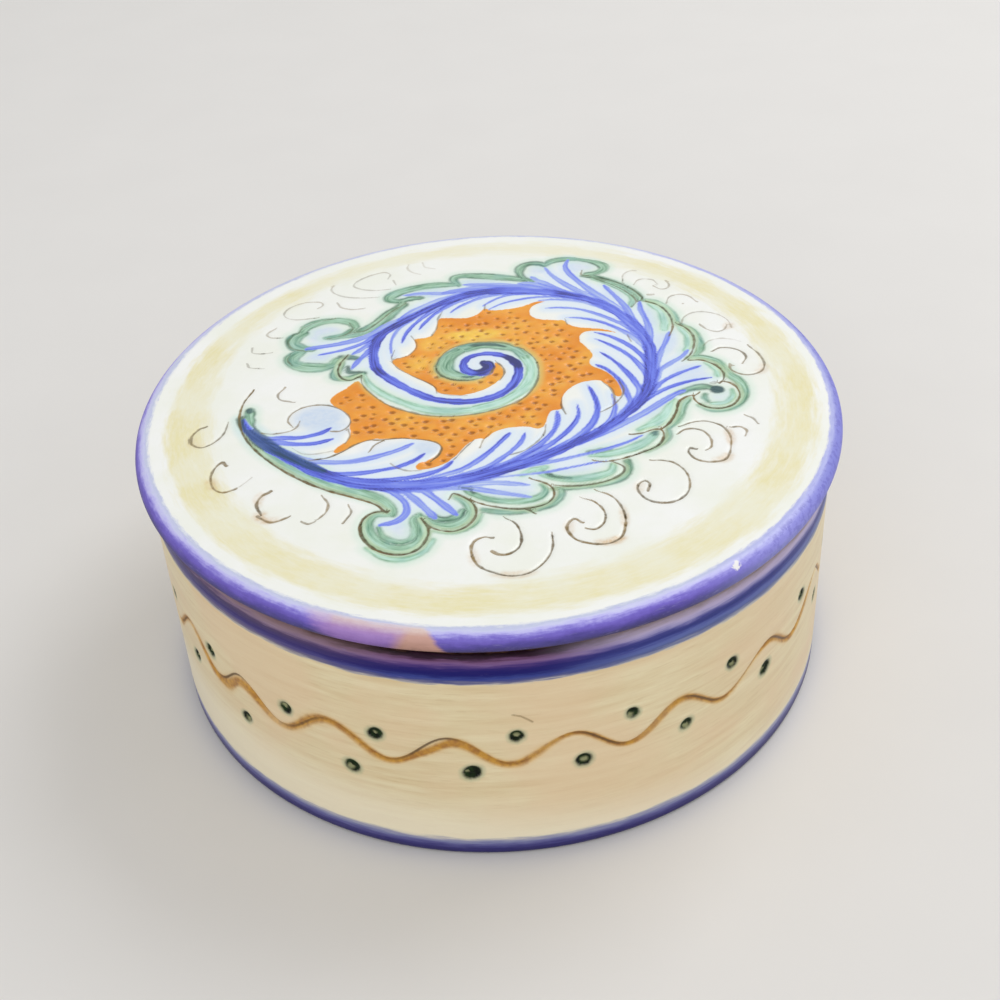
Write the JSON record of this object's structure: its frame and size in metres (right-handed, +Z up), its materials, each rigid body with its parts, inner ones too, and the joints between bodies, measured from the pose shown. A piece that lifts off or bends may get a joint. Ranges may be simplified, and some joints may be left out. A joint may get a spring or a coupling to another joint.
{
  "type": "lidded ceramic box",
  "caption": "Round straight-walled ceramic box with a flat lift-off lid that overhangs the wall and is centred in the mouth by a ring underneath.",
  "frame": {"origin": "centre of the foot's underside, on the axis of the box", "axes": "+Z up along the axis of the box, -Y towards the viewer of the front"},
  "size_m": [0.115, 0.115, 0.0467],
  "materials": {
    "cream_glaze": "satin glaze",
    "white_glaze": "satin glaze"
  },
  "bodies": {
    "box": {"box_body": "cream_glaze"},
    "cover": {"lid": "white_glaze"}
  },
  "joints": [
    {"name": "lid_lift", "type": "slide", "parent": "box", "child": "cover", "axis": [0, 0, 1], "range_m": [0, 0.06]}
  ]
}
